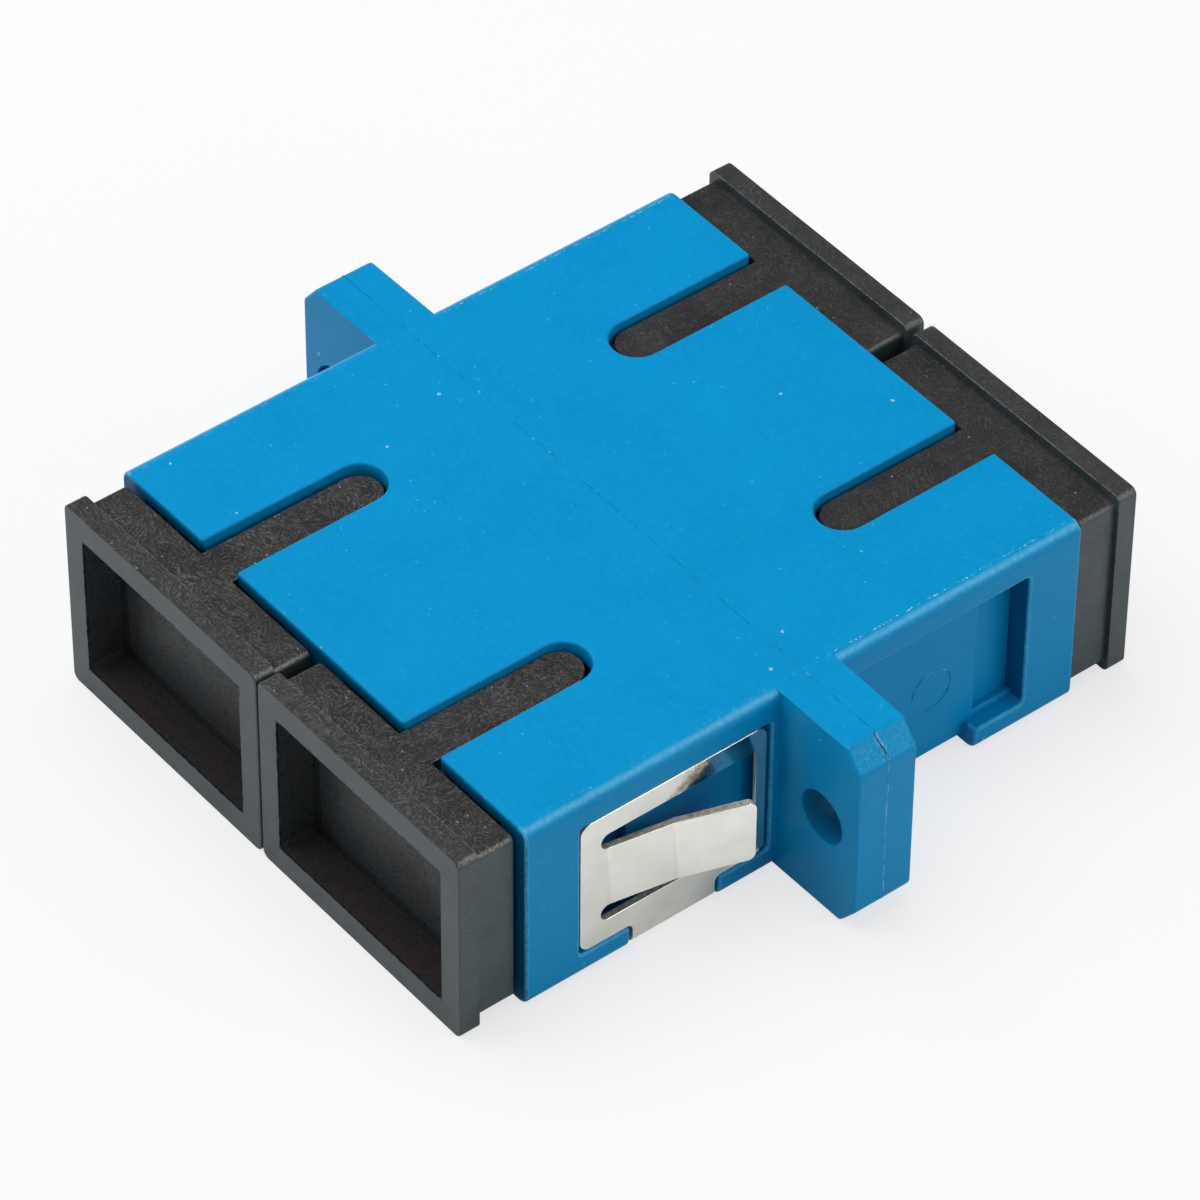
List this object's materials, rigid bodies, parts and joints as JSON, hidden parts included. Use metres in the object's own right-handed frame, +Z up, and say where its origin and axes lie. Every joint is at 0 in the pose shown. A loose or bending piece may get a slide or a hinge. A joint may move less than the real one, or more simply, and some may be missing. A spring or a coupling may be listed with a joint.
{
  "type": "duplex fibre optic adapter",
  "caption": "Duplex fibre optic adapter: blue welded housing with ears, keyed square ports, sprung panel clip and black dust caps.",
  "frame": {"origin": "centre of the weld plane between the two housing halves, which is the centre of the whole part", "axes": "+X across the flange, +Y along the ports to the end without the clip, +Z up through the keyways"},
  "size_m": [0.0346, 0.0332, 0.0094],
  "materials": {
    "blue_housing": "fine satin moulded",
    "spring_steel": "bright rolled",
    "black_cap": "soft moulded, scuffed",
    "natural_latch": "natural moulded",
    "zirconia": "ground"
  },
  "bodies": {
    "adapter": {"housing_near": "blue_housing", "housing_far": "blue_housing", "panel_clip": "spring_steel", "sleeve_holder_near_left": "natural_latch", "sleeve_holder_near_right": "natural_latch", "sleeve_holder_far_left": "natural_latch", "sleeve_holder_far_right": "natural_latch", "split_sleeve_left": "zirconia", "split_sleeve_right": "zirconia"},
    "dust_cap_near_left": {"dust_cap_near_left": "black_cap"},
    "dust_cap_near_right": {"dust_cap_near_right": "black_cap"},
    "dust_cap_far_left": {"dust_cap_far_left": "black_cap"},
    "dust_cap_far_right": {"dust_cap_far_right": "black_cap"}
  },
  "joints": [
    {"name": "dust_cap_near_left_pull", "type": "slide", "parent": "adapter", "child": "dust_cap_near_left", "axis": [0, -1, 0], "range_m": [0, 0.016]},
    {"name": "dust_cap_near_right_pull", "type": "slide", "parent": "adapter", "child": "dust_cap_near_right", "axis": [0, -1, 0], "range_m": [0, 0.016]},
    {"name": "dust_cap_far_left_pull", "type": "slide", "parent": "adapter", "child": "dust_cap_far_left", "axis": [0, 1, 0], "range_m": [0, 0.016]},
    {"name": "dust_cap_far_right_pull", "type": "slide", "parent": "adapter", "child": "dust_cap_far_right", "axis": [0, 1, 0], "range_m": [0, 0.016]}
  ]
}
